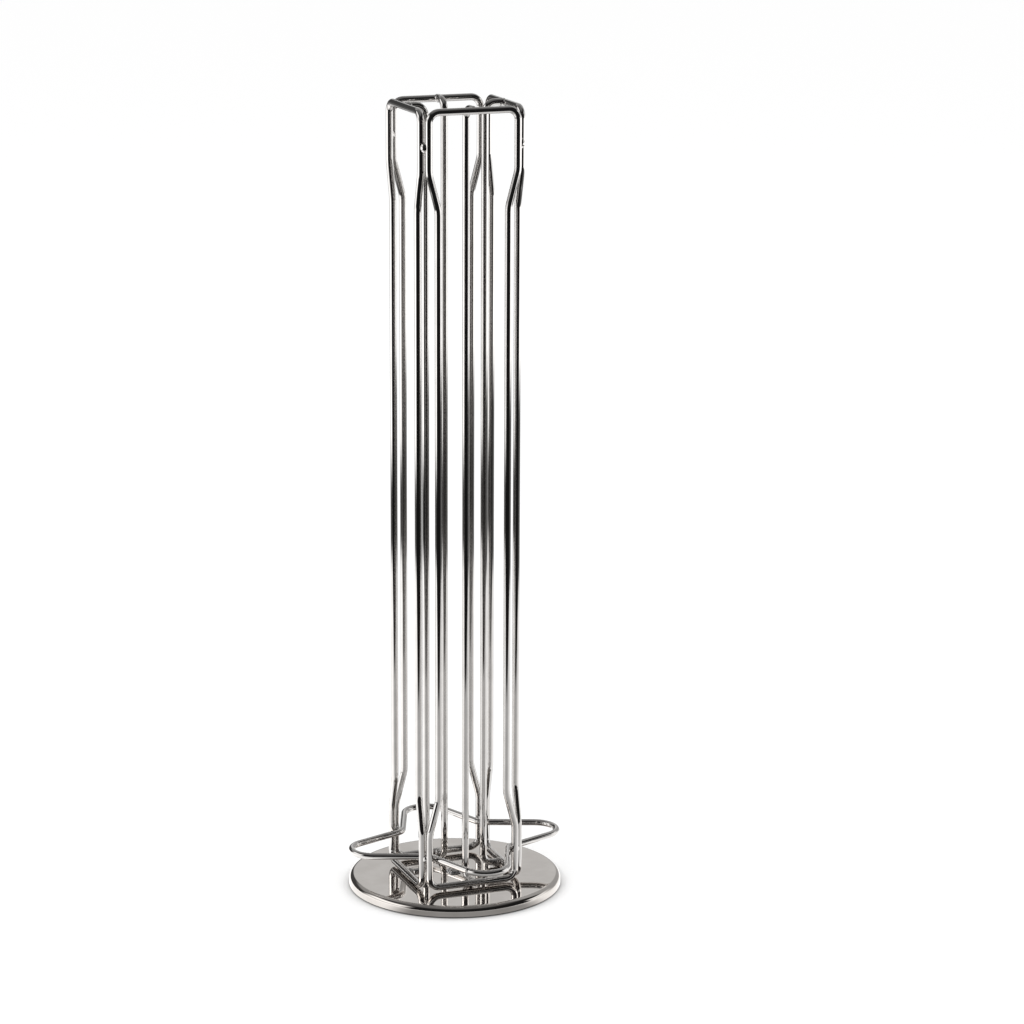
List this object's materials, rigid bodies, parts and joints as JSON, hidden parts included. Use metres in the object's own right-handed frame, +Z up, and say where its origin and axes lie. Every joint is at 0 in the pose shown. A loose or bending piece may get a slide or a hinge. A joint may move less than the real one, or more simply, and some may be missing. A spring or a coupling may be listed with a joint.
{
  "type": "coffee capsule dispenser",
  "caption": "Turning wire tower on a round dish that stores coffee capsules in upright columns and lets them out at the bottom.",
  "frame": {"origin": "middle of the underside of the anti-slip ring, on the turning axis", "axes": "+Z up along the turning axis; the front face of the cage looks along -Y at rest, the right face along +X"},
  "size_m": [0.1088, 0.1088, 0.3861],
  "materials": {
    "wire_chrome": "bright chrome plate on drawn steel wire",
    "weld_chrome": "plated weld bead, slightly rippled",
    "dish_chrome": "mirror chrome on pressed sheet",
    "rivet_chrome": "plated rivet, turned head",
    "bush_steel": "turned steel",
    "zinc_steel": "zinc-plated sheet, dull",
    "white_nylon": "natural nylon, satin",
    "black_rubber": "matt foam rubber"
  },
  "bodies": {
    "base": {"base_plate": "zinc_steel", "anti_slip_ring": "black_rubber", "glide_ring": "white_nylon", "thrust_washer": "white_nylon", "clamp_washer": "zinc_steel", "pivot_rivet": "rivet_chrome"},
    "carousel": {"pivot_bush": "bush_steel", "turntable_dish": "dish_chrome", "outlet_ring": "wire_chrome", "corner_welds_top": "weld_chrome", "corner_welds_ring": "weld_chrome", "foot_welds_top": "weld_chrome", "foot_welds_bottom": "weld_chrome", "side_frame_front": "wire_chrome", "guide_wire_front": "wire_chrome", "side_frame_right": "wire_chrome", "guide_wire_right": "wire_chrome", "side_frame_back": "wire_chrome", "guide_wire_back": "wire_chrome", "side_frame_left": "wire_chrome", "guide_wire_left": "wire_chrome"}
  },
  "joints": [
    {"name": "carousel_turn", "type": "hinge", "parent": "base", "child": "carousel", "pos_m": [0, 0, 0.0055], "axis": [0, 0, 1], "continuous": true}
  ]
}
